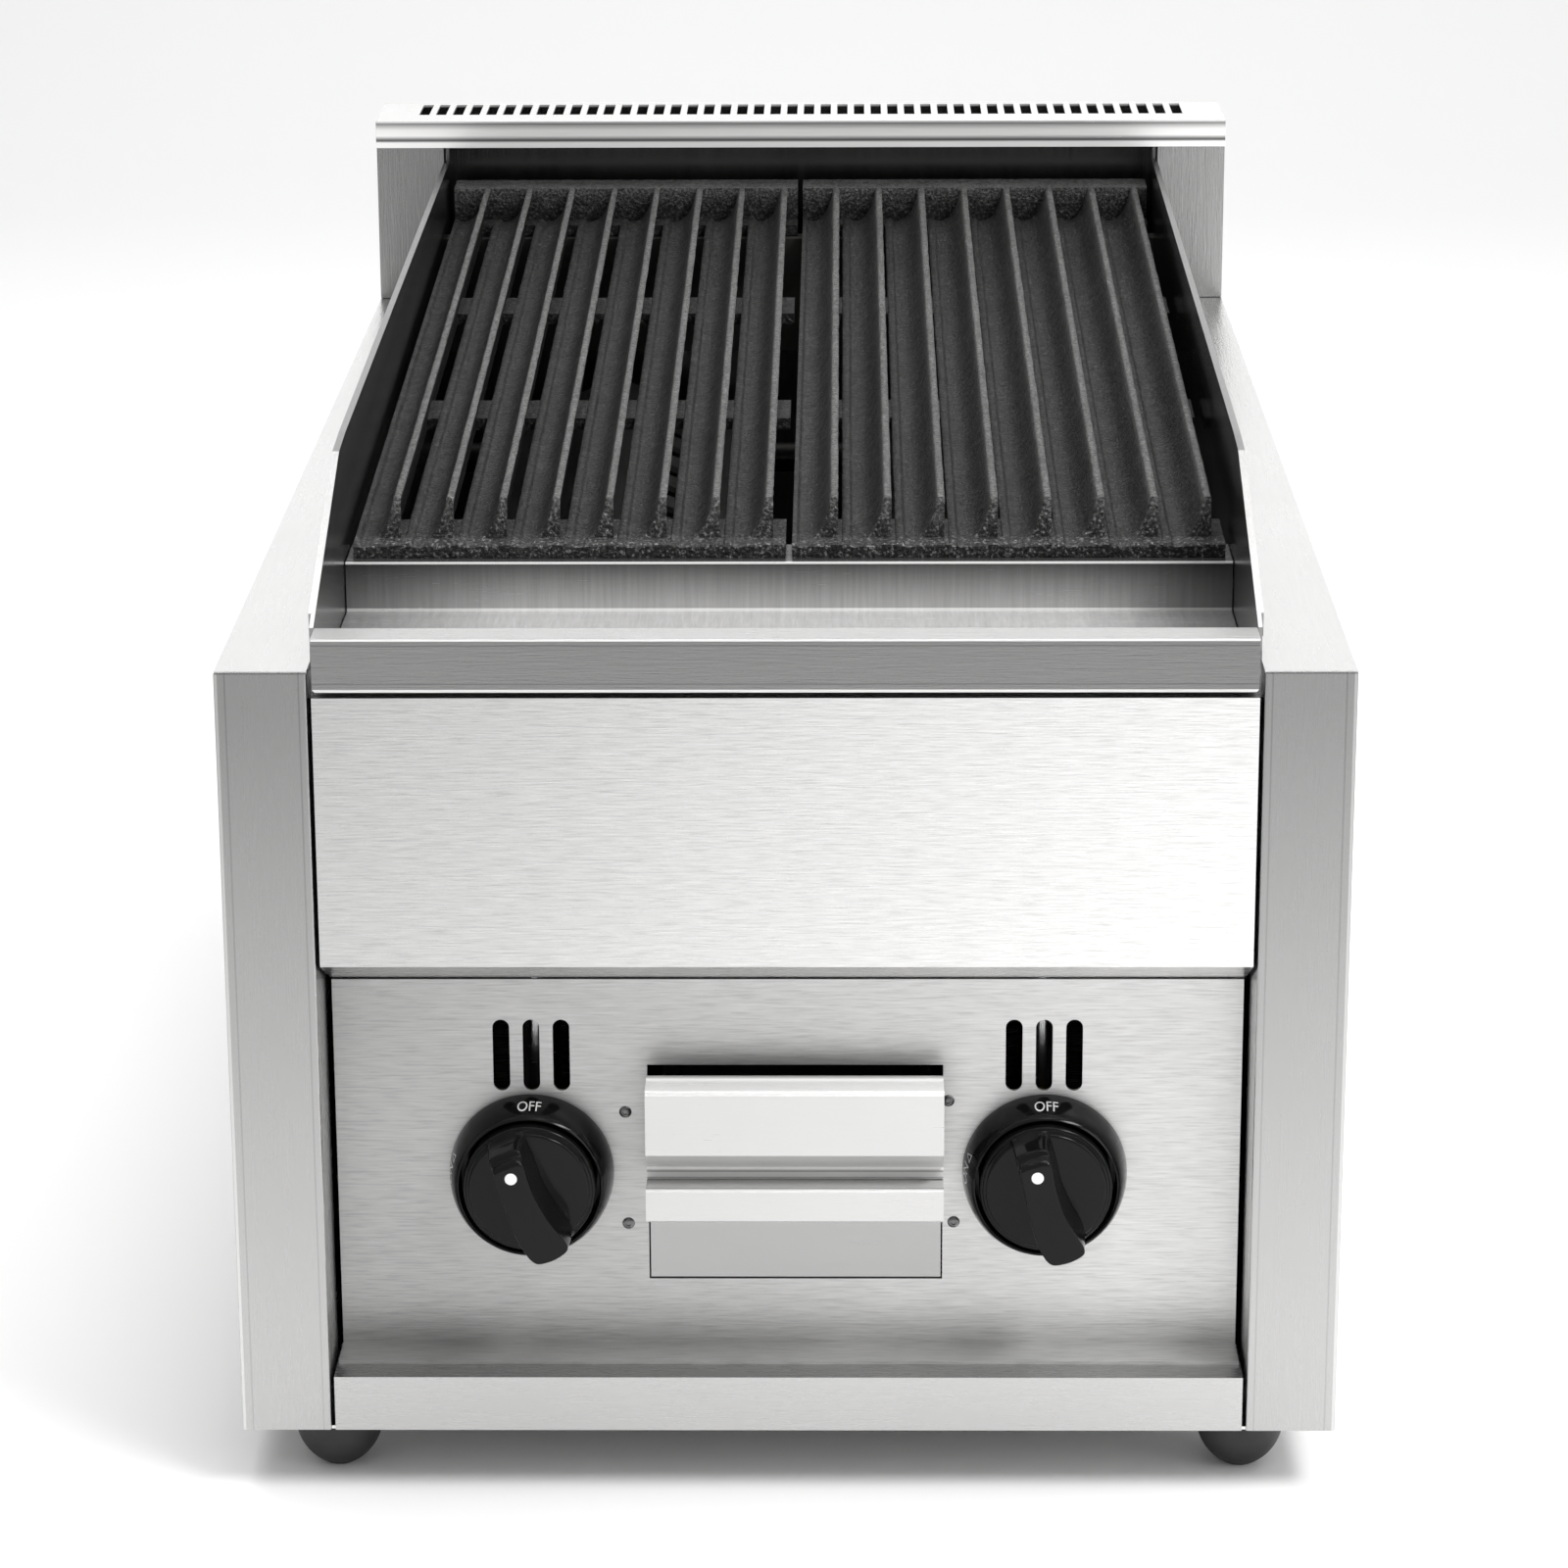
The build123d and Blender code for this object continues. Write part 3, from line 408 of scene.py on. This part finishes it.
def finCell():  # a lip, a groove, then the trough that sweeps up into a leaning fin
    g = grate
    curve = [(-0.0092, -0.0012)]
    for i in range(1, 9):  # the sweep from the trough to the fin's top edge
        t = i / 8
        a, b, c = (-0.0092, -0.0012), (-0.0024, -0.0010), (0.0006, g["tall"] - 0.0004)
        curve.append(((1 - t) ** 2 * a[0] + 2 * t * (1 - t) * b[0] + t * t * c[0],
                      (1 - t) ** 2 * a[1] + 2 * t * (1 - t) * b[1] + t * t * c[1]))
    outline = [(-0.0152, -0.0004), (-0.0148, 0), (-0.0135, 0), (-0.0123, 0), (-0.0118, -0.0005), (-0.0112, -0.0012),
               (-0.0103, -0.0013)] + curve + [
        (0.0012, g["tall"]), (0.0028, g["tall"]), (0.0034, g["tall"] - 0.0005), (0.0026, 0.0108), (0.0014, 0.0055),
        (0.0002, 0.0002), (0, -0.0026), (0, -g["depth"]), (-0.005, -g["depth"]), (-0.010, -g["depth"]),
        (-0.0152, -g["depth"]), (-0.0152, -0.0028)]
    start = g["finStart"]
    steps = along(0, start - 0.003, 0.0012) + along(start - 0.0028, start + 0.0022, 0.0008) + \
        along(start + 0.003, 0.034, 0.002) + along(0.040, g["rimStart"] + 0.004, 0.007)
    loops = []
    for s in steps:
        ceiling = g["tall"] * min(1, max(0, (s - start + 0.0028) / 0.0040)) ** 0.8
        if s < 0.0012:
            ceiling = -0.0009 * (1 - s / 0.0012)
        loops.append([(x, s, min(z, ceiling) if z > -0.001 else z) for x, z in outline])
    return ringed(loops)


def gritBox(xs, ys, zs, step):  # a closed box with a fine skin, so that it can be roughened
    shape = bmesh.new()
    counts = [max(1, round((hi - lo) / step)) for lo, hi in (xs, ys, zs)]
    corners = {}

    def spotOf(i, j, k):
        if (i, j, k) not in corners:
            corners[i, j, k] = shape.verts.new([lo + (hi - lo) * n / c for (lo, hi), n, c in
                                                zip((xs, ys, zs), (i, j, k), counts)])
        return corners[i, j, k]

    for axis in range(3):
        u, v = [n for n in range(3) if n != axis]
        for end in (0, counts[axis]):
            for i in range(counts[u]):
                for j in range(counts[v]):
                    square = []
                    for di, dj in ((0, 0), (1, 0), (1, 1), (0, 1)):
                        key = [0, 0, 0]
                        key[axis], key[u], key[v] = end, i + di, j + dj
                        square.append(spotOf(*key))
                    shape.faces.new(square)
    bmesh.ops.recalc_face_normals(shape, faces=shape.faces)
    mesh = bpy.data.meshes.new("grit")
    shape.to_mesh(mesh)
    shape.free()
    return mesh


def castGrate(side, left, seed):
    g = grate
    common = {"Grain": g["grain"], "Tilt": math.atan2(g["rise"], g["run"]), "Iron": finishes["iron"],
              "Roughness": g["rough"]}
    at = Vector((left, place["grateY"], place["grateZ"]))
    first = at + Vector((g["firstFin"], 0, 0))
    pitch = (g["pitch"], 0, 0)
    last = g["firstFin"] + (g["fins"] - 1) * g["pitch"]

    def cast(shape, start, **values):
        return grown(shape, rowTree, {**common, "Place": start, **values})

    parts = [cast(finCell(), first, Count=g["fins"], Pitch=pitch, Seed=seed)]
    for n, (near, far) in enumerate(g["bridges"]):
        depths, heights = (near + 0.0002, far), (-g["depth"] + 0.0002, -0.0003)
        bridge = gritBox((-0.0004, 0.0052), depths, heights, 0.0018)
        parts.append(cast(bridge, first, Count=g["fins"] - 1, Pitch=pitch, Seed=seed + n))
        tab = gritBox((last - 0.0004, g["width"]), depths, heights, 0.0018)
        parts.append(cast(tab, at, Count=1, Seed=seed + 5 + n))
    rim = gritBox((0, g["width"]), (g["rimStart"], g["run"]), (-g["depth"], g["tall"]), 0.0019)
    parts.append(cast(rim, at, Count=1, Seed=seed + 9))
    mesh = joined("castGrate" + side, parts)
    for vert in mesh.vertices:
        vert.co.x = min(max(vert.co.x, left), left + g["width"])
        vert.co.y = max(vert.co.y, place["grateY"] - 0.0002)
    low = side.lower()
    keep("castGrate_" + low, mesh, "iron", "grate_" + low, ["grate_" + low], sharp=50)
    print("grate", low, len(mesh.polygons), "faces")


castGrate("Left", -grate["width"] - grate["gap"] / 2, 3.0)
castGrate("Right", grate["gap"] / 2, 41.0)

# knobs: a dial with a stepped rim and a tall waisted grip across it, turned to the valve's resting angle
knob = {"gripFoot": 0.0124, "gripTall": 0.0200, "dotUp": 0.0128, "dotAcross": -0.0004,
        "dotProfile": ((0.00001, -0.00012), (0.0018, -0.00012), (0.0022, -0.00006), (0.0023, 0.0002)),
        "lean": {"left": 22.0, "right": 16.5}}
dialProfile = [(0, 10.0), (12, 10.0), (21.0, 10.0), (21.6, 10.1), (21.95, 10.4), (22.1, 10.8), (22.5, 10.95),
               (22.9, 11.1), (23.05, 11.5), (23.2, 11.8), (23.7, 11.95), (24.0, 12.3), (24.2, 13.0), (24.2, 21.4),
               (23.6, 22), (22.2, 22), (21.6, 21.2), (21.6, 14.5), (0, 14.5)]
bezelProfile = [(7, 29.9), (30.0, 29.9), (30.2, 29.7), (30.2, 28.6), (29.95, 25.5), (29.4, 22.0), (28.75, 18.9),
                (27.95, 16.6), (27.25, 15.0), (26.75, 14.25), (26.2, 13.85), (25.9, 13.95), (25.7, 14.4), (25.7, 28.4),
                (7, 28.4)]
# grip outlines in millimetres, across then up, from the pointer end round by the thumb side
gripFace = [(-4.2, 0), (0, 0.15), (4.0, 0), (5.5, -1.8), (4.9, 10), (4.6, 2), (5.3, -6.5), (7.0, -13.5),
            (8.2, -18.0), (7.2, -20.6), (2, -22), (-3.6, -21.6), (-5.8, -19.6), (-6.9, -16), (-7.6, -10),
            (-7.4, -3), (-6.6, 7), (-5.8, -1.8)]
gripFoot = [(-5.4, 0), (0, 0.15), (5.0, 0), (7.0, -1.8), (7.2, 12), (6.6, 2), (7.6, -6.5), (9.2, -13.5),
            (9.0, -19.5), (7.6, -22), (2, -23.4), (-4.2, -22.8), (-6.6, -20.8), (-8.0, -17), (-8.6, -10),
            (-8.4, -3), (-7.6, 7), (-7.2, -1.8)]
pointerEnd = (0, 1, 2, 3, 17)  # the outline points that slide up and down with the pointer end's reach
# each level: height above the foot, how far up the pointer end reaches there, how far the edge is drawn in
gripLevels = [(20, 16.2, 0.9), (20, 16.8, 0.4), (19.9, 17.1, 0.15), (19.6, 17.4, 0), (19.0, 17.9, 0),
              (18.0, 18.5, 0), (17.2, 18.85, 0), (16.7, 19.0, 0), (16.4, 19.3, 0), (16.25, 19.9, 0),
              (16.15, 20.5, 0), (15.8, 20.95, 0), (15.2, 21.15, 0), (14.0, 21.25, 0), (8.0, 21.5, 0),
              (2.4, 21.9, 0), (1.6, 22.2, -0.4), (-1.5, 22.2, -0.5)]


def turnedRing(centre, profile, count=96):  # a lathe shape on a level axis, profile in millimetres
    loops = []
    for radius, deep in profile:
        radius = max(radius, 0.01) / 1000
        loops.append([centre + Vector((radius * math.sin(2 * math.pi * i / count), deep / 1000,
                                       radius * math.cos(2 * math.pi * i / count))) for i in range(count)])
    return ringed(loops)


def smoothLoop(points, per=5):  # a closed curve through the points
    n, curve = len(points), []
    for i in range(n):
        p0, p1, p2, p3 = (Vector(points[(i + k) % n]) for k in (-1, 0, 1, 2))
        for j in range(per):
            t = j / per
            bend = (p2 - p0) * t + (2 * p0 - 5 * p1 + 4 * p2 - p3) * t * t + (3 * p1 - p0 - 3 * p2 + p3) * t ** 3
            curve.append(p1 + bend * 0.5)
    return curve


def knobPiece(side, sign):
    centre = Vector((sign * place["knobX"], place["front"], place["knobZ"]))
    turn = math.radians(knob["lean"][side])
    up = Vector((-math.sin(turn), 0, math.cos(turn)))
    right = Vector((math.cos(turn), 0, math.sin(turn)))
    dial = turnedRing(centre, dialProfile)
    loops = []
    for height, reach, inset in gripLevels:
        t = min(1, max(0, height / 1000 / knob["gripTall"])) ** 1.15
        points = []
        for i, (low, high) in enumerate(zip(gripFoot, gripFace)):
            x, y = low[0] + (high[0] - low[0]) * t, low[1] + (high[1] - low[1]) * t
            if i in pointerEnd:
                y += reach
            points.append((x * (1 - inset / 7), y * (1 - inset / 20)))
        level = centre + Vector((0, knob["gripFoot"] - height / 1000, 0))
        loops.append([level + right * p.x / 1000 + up * p.y / 1000 for p in smoothLoop(points)])
    turned = joined("knobTurned", [dial, ringed(loops)])
    keep("knobTurned_" + side, turned, "knob", "knob_" + side, ["knob_" + side], sharp=42)
    middle = centre + up * knob["dotUp"] + right * knob["dotAcross"]
    middle.y += knob["gripFoot"] - knob["gripTall"]
    dotLoops = []
    for radius, deep in knob["dotProfile"]:
        dotLoops.append([middle + right * radius * math.sin(math.pi * i / 16) +
                         up * radius * math.cos(math.pi * i / 16) + Vector((0, deep, 0)) for i in range(32)])
    keep("pointerDot_" + side, ringed(dotLoops), "white", "knob_" + side, sharp=60)
    keep("bezelTurned_" + side, turnedRing(centre, bezelProfile, 128), "bezel", "cabinet", ["bezel_" + side], sharp=42)


for side, sign in (("left", -1), ("right", 1)):
    knobPiece(side, sign)
print("knobs turned")

# markings on the bezel's sloping ring; sideways is measured round the ring, upright along the slope
mark = {"typeSize": 0.00728, "lift": 0.00008, "wide": 0.68, "tall": 1.25, "midRadius": 0.0283,
        "ring": ((0.0302, 0.0286), (0.02995, 0.0255), (0.0294, 0.0220), (0.02875, 0.0189), (0.02795, 0.0166),
                 (0.02725, 0.0150)),
        "printed": (("OFF", 0, 0.0112, 0.0), ("ON", 82, 0.0100, -0.0015), ("", 82, 0.0098, 0.0050))}


def ontoRing(side, angle, x, y):  # a point of flat lettering laid on the ring
    sign = -1 if side == "left" else 1
    ring, left = mark["ring"], y
    for (r0, d0), (r1, d1) in zip(ring, ring[1:]):
        length = math.hypot(r1 - r0, d1 - d0)
        if left <= length or (r1, d1) == ring[-1]:
            break
        left -= length
    r, d = r0 + (r1 - r0) * left / length, d0 + (d1 - d0) * left / length
    outR, outD = -(d1 - d0) / length, (r1 - r0) / length  # the slope's outward side
    r, d = r + outR * mark["lift"], d + outD * mark["lift"]
    theta = math.radians(angle) - x / mark["midRadius"]
    return Vector((sign * place["knobX"] - r * math.sin(theta), place["front"] + d,
                   place["knobZ"] + r * math.cos(theta)))


def lettering(word):
    data = bpy.data.curves.new(word, "FONT")
    data.body, data.size, data.align_x, data.resolution_u = word, mark["typeSize"], "CENTER", 4
    holder = bpy.data.objects.new(word, data)
    bpy.context.collection.objects.link(holder)
    mesh = bpy.data.meshes.new_from_object(holder.evaluated_get(bpy.context.evaluated_depsgraph_get()))
    bpy.data.objects.remove(holder)
    return mesh


def triangleOutline():
    mesh = bpy.data.meshes.new("flame")
    outer = [(-0.0024, 0.0), (0.0024, 0.0), (0.0, 0.0046)]
    inner = [(-0.0016, 0.00055), (0.0016, 0.00055), (0.0, 0.0036)]
    mesh.from_pydata([(x, y, 0) for x, y in outer + inner], [], [(0, 1, 4, 3), (1, 2, 5, 4), (2, 0, 3, 5)])
    return mesh


for side in ("left", "right"):
    marks = []
    for word, angle, start, shift in mark["printed"]:
        solid = bmesh.new()
        solid.from_mesh(lettering(word) if word else triangleOutline())
        bmesh.ops.triangulate(solid, faces=solid.faces)
        bmesh.ops.subdivide_edges(solid, edges=[e for e in solid.edges if e.calc_length() > 0.0012], cuts=2)
        for vert in solid.verts:
            vert.co = ontoRing(side, angle, vert.co.x * mark["wide"] + shift, start - vert.co.y * mark["tall"])
        bmesh.ops.recalc_face_normals(solid, faces=solid.faces)
        laid = bpy.data.meshes.new("laid")
        solid.to_mesh(laid)
        solid.free()
        marks.append(laid)
    keep("bezelMarks_" + side, joined("bezelMarks", marks), "print", "cabinet", sharp=180)
print("bezels marked")

def fastenerTree():  # one domed head with a socket, set at every point
    heads, given = openTree("fasteners", {"Radius": "Float", "Dome": "Float", "Socket": "Float", "Sides": "Int",
                                          "Finish": "Material"})
    ball = heads.node("GeometryNodeMeshUVSphere", {}, {"Segments": 28, "Rings": 16, "Radius": 1.0})
    oval = heads.node("CombineXYZ", {}, {0: given["Radius"], 1: given["Dome"], 2: given["Radius"]})
    dome = heads.node("GeometryNodeTransform", {}, {"Geometry": ball, "Scale": oval})
    pit = heads.node("GeometryNodeMeshCylinder", {}, {"Vertices": given["Sides"], "Radius": given["Socket"],
                                                      "Depth": given["Dome"] * 1.2})
    pitBack = heads.node("CombineXYZ", {}, {1: given["Dome"] * -1.0})
    pit = heads.node("GeometryNodeTransform", {}, {"Geometry": pit, "Translation": pitBack,
                                                   "Rotation": (math.pi / 2, 0.0, 0.0)})
    cut = heads.node("GeometryNodeMeshBoolean", {"operation": "DIFFERENCE"}, {0: dome, 1: pit})
    many = heads.node("GeometryNodeInstanceOnPoints", {}, {"Points": given["Geometry"], "Instance": cut})
    real = heads.node("GeometryNodeRealizeInstances", {}, {0: many})
    done = heads.node("GeometryNodeSetMaterial", {}, {"Geometry": real, "Material": given["Finish"]})
    heads.node("NodeGroupOutput", {}, {0: done})
    return heads.tree


# a head that faces the back has its dome's height below nought
fasteners = {
    "panelScrewHeads": {"stands": "panel_screws", "finish": "screw", "y": place["panelY"] + 0.0001,
                        "sizes": {"Radius": 0.0023, "Dome": 0.0009, "Socket": 0.00105, "Sides": 6},
                        "at": ((-0.0594, 0.1372), (-0.0588, 0.0934), (0.0586, 0.1416), (0.0608, 0.0940))},
    "rearRivetHeads": {"stands": "rear_rivets", "finish": "zinc", "y": 0.3152,
                       "sizes": {"Radius": 0.0032, "Dome": -0.0016, "Socket": 0.0009, "Sides": 16},
                       "at": [(x, z) for z in (0.283, 0.173, 0.063) for x in (-0.1925, 0.1925)]},
}
headTree = fastenerTree()
for name, kind in fasteners.items():
    spots = bpy.data.meshes.new(name + "Spots")
    spots.from_pydata([(x, kind["y"], z) for x, z in kind["at"]], [], [])
    headMesh = grown(spots, headTree, {**kind["sizes"], "Finish": finishes[kind["finish"]]})
    keep(name, outwards(headMesh), kind["finish"], "cabinet", [kind["stands"]], sharp=40)
print("fasteners set")

# the floor runs back level, bends up and goes on as a wall
stage = {"level": 0.86, "half": 6, "near": -5.0, "bendStart": 2.2, "bendRadius": 1.2, "wallTop": 6.0, "world": 0.5}
floorMesh = bpy.data.meshes.new("floor")
outline = [(stage["near"], 0.0)]
for i in range(13):
    turn = math.radians(90 * i / 12)
    outline.append((stage["bendStart"] + stage["bendRadius"] * math.sin(turn),
                    stage["bendRadius"] * (1 - math.cos(turn))))
outline.append((stage["bendStart"] + stage["bendRadius"], stage["wallTop"]))
points = [(x, y, z) for x in (-stage["half"], stage["half"]) for y, z in outline]
count = len(outline)
floorMesh.from_pydata(points, [], [(i, i + count, i + count + 1, i + 1) for i in range(count - 1)])
floor = bpy.data.objects.new("floor", floorMesh)
bpy.context.collection.objects.link(floor)
for face in floorMesh.polygons:
    face.use_smooth = True
floorShade = Shade("paleFloor")
floorMesh.materials.append(floorShade.finish(colour=grey(stage["level"]), rough=0.7))

lamps = {
    "overhead": {"spot": (0.1, 0.2, 2.4), "aim": (0, 0.1, 0.2), "size": (2.4, 2.0), "power": 62},
    "rightFront": {"spot": (2.0, -1.2, 1.0), "aim": (0.05, -0.2, 0.15), "size": (1.2, 1.6), "power": 17},
    "glint": {"spot": (1.0, -1.0, 1.7), "aim": (0.0, -0.35, 0.15), "size": (0.9, 0.35), "power": 24},
    "back": {"spot": (0.0, 3.0, 1.6), "aim": (0, 0, 0.3), "size": (3.2, 1.4), "power": 6},
}
for name, lamp in lamps.items():
    data = bpy.data.lights.new(name, "AREA")
    data.shape = "RECTANGLE"
    data.size, data.size_y = lamp["size"]
    data.energy = lamp["power"]
    light = bpy.data.objects.new(name, data)
    bpy.context.collection.objects.link(light)
    light.location = lamp["spot"]
    light.rotation_euler = (Vector(lamp["aim"]) - Vector(lamp["spot"])).to_track_quat("-Z", "Y").to_euler()
world = bpy.data.worlds.new("studio")
bpy.context.scene.world = world
world.use_nodes = True
world.node_tree.nodes["Background"].inputs["Color"].default_value = grey(1.0)
world.node_tree.nodes["Background"].inputs["Strength"].default_value = stage["world"]
bpy.context.scene.view_settings.view_transform = "Standard"

# the camera: where it stands, and how far it tips down, turns and rolls, in degrees
view = {"spot": (0.021, -1.991, 0.780), "down": 17.2, "turn": -0.75, "roll": -0.25, "lens": 112.2}
down, turn, roll = (math.radians(view[k]) for k in ("down", "turn", "roll"))
ahead = Vector((math.sin(turn) * math.cos(down), math.cos(turn) * math.cos(down), -math.sin(down)))
across = Vector((math.cos(turn), -math.sin(turn), 0))
upward = across.cross(ahead)
rightward = across * math.cos(roll) + upward * math.sin(roll)
upright = upward * math.cos(roll) - across * math.sin(roll)
camera = bpy.data.objects.new("camera", bpy.data.cameras.new("camera"))
camera.data.lens, camera.data.sensor_width = view["lens"], 36
bpy.context.collection.objects.link(camera)
camera.matrix_world = Matrix((rightward, upright, -ahead)).transposed().to_4x4()
camera.location = view["spot"]
bpy.context.scene.camera = camera
print("stage set")
